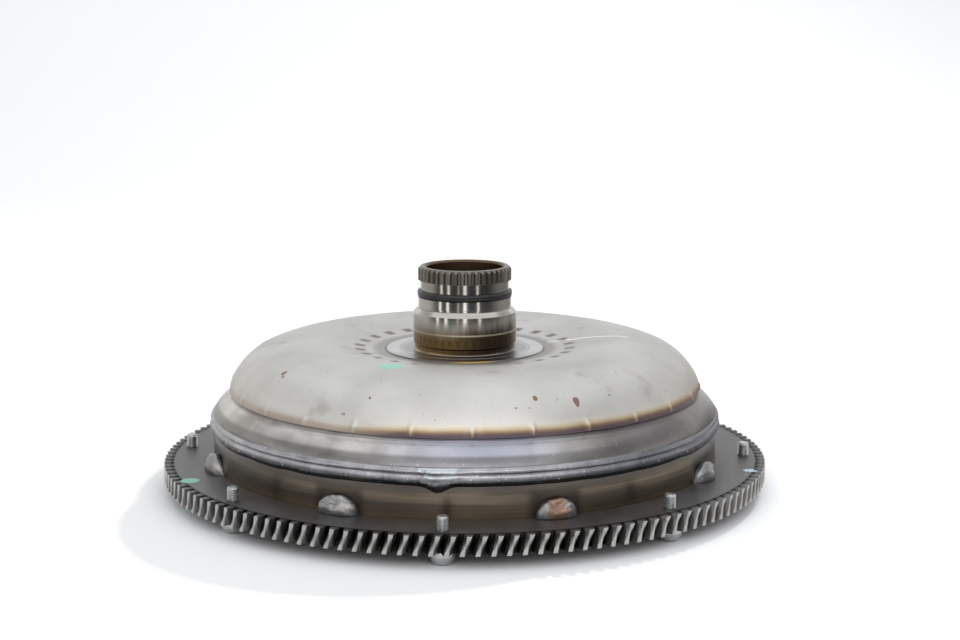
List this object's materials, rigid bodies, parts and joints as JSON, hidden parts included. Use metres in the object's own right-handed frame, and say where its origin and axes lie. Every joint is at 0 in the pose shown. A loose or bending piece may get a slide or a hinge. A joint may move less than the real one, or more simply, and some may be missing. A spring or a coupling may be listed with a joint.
{
  "type": "torque converter",
  "caption": "Welded automatic-gearbox torque converter: domed steel shell with splined hub, drive ring with starter teeth, and turbine, stator and lock-up damper inside.",
  "frame": {"origin": "on the shaft axis, in the plane that the bolt heads stand on", "axes": "+Z along the shaft toward the gearbox end of the hub; -Y is the front of the view used; X to its right"},
  "size_m": [0.32, 0.32, 0.1168],
  "materials": {
    "shell_steel": "satin, faint circumferential marks",
    "hub_steel": "ground and polished, varnish-stained at its foot",
    "weld_steel": "rough weld bead with spatter",
    "seal_rubber": "black, slightly oily",
    "cover_steel": "heat-tinted dark brown",
    "machined_steel": "turned, oily",
    "ring_steel": "dark oily gunmetal",
    "zinc": "bright zinc plate",
    "sheet_steel": "pressed sheet, oily",
    "bronze": "plain bearing bronze",
    "cast_alloy": "as cast",
    "spring_steel": "blued",
    "friction_paper": "oil-soaked paper friction material"
  },
  "bodies": {
    "housing": {"impeller_shell": "shell_steel", "impeller_hub": "hub_steel", "hub_weld": "weld_steel", "hub_o_ring": "seal_rubber", "front_cover": "cover_steel", "closing_weld": "weld_steel", "crank_pilot": "machined_steel", "ring_gear_plate": "ring_steel", "plate_lug_welds": "weld_steel", "drive_plate_bolts": "zinc", "impeller_blades": "sheet_steel", "impeller_core_ring": "sheet_steel", "turbine_thrust_washer": "bronze", "impeller_bearing_hub_race": "machined_steel"},
    "turbine": {"turbine_shell": "sheet_steel", "turbine_blades": "sheet_steel", "turbine_core_ring": "sheet_steel", "turbine_hub": "machined_steel", "turbine_rivets": "machined_steel", "damper_driven_flange": "sheet_steel", "piston_seal_ring": "seal_rubber", "turbine_bearing_hub_race": "machined_steel", "turbine_bearing_needles": "machined_steel"},
    "stator": {"stator_wheel": "cast_alloy", "clutch_outer_race": "machined_steel", "clutch_rollers": "machined_steel", "clutch_springs": "spring_steel", "clutch_lower_plate": "bronze", "clutch_upper_plate": "bronze", "turbine_bearing_stator_race": "machined_steel", "impeller_bearing_stator_race": "machined_steel", "impeller_bearing_needles": "machined_steel"},
    "stator_inner_race": {"clutch_inner_race": "machined_steel"},
    "damper": {"damper_lower_plate": "sheet_steel", "damper_upper_plate": "sheet_steel", "damper_rivets": "machined_steel", "damper_springs": "spring_steel"},
    "lockup_piston": {"lockup_piston": "sheet_steel", "friction_lining": "friction_paper"}
  },
  "joints": [
    {"name": "turbine_spin", "type": "hinge", "parent": "housing", "child": "turbine", "pos_m": [0, 0, 0.035], "axis": [0, 0, 1], "continuous": true},
    {"name": "stator_shaft_spin", "type": "hinge", "parent": "housing", "child": "stator_inner_race", "pos_m": [0, 0, 0.0538], "axis": [0, 0, 1], "continuous": true},
    {"name": "stator_freewheel", "type": "hinge", "parent": "stator_inner_race", "child": "stator", "pos_m": [0, 0, 0.0538], "axis": [0, 0, 1], "continuous": true},
    {"name": "damper_windup", "type": "hinge", "parent": "turbine", "child": "damper", "pos_m": [0, 0, 0.0217], "axis": [0, 0, 1], "range_deg": [-5, 5], "stiffness_Nm_per_rad": 600, "deforming": ["damper_springs"]},
    {"name": "lockup_apply", "type": "slide", "parent": "damper", "child": "lockup_piston", "axis": [0, 0, -1], "range_m": [0, 0.0014]}
  ]
}
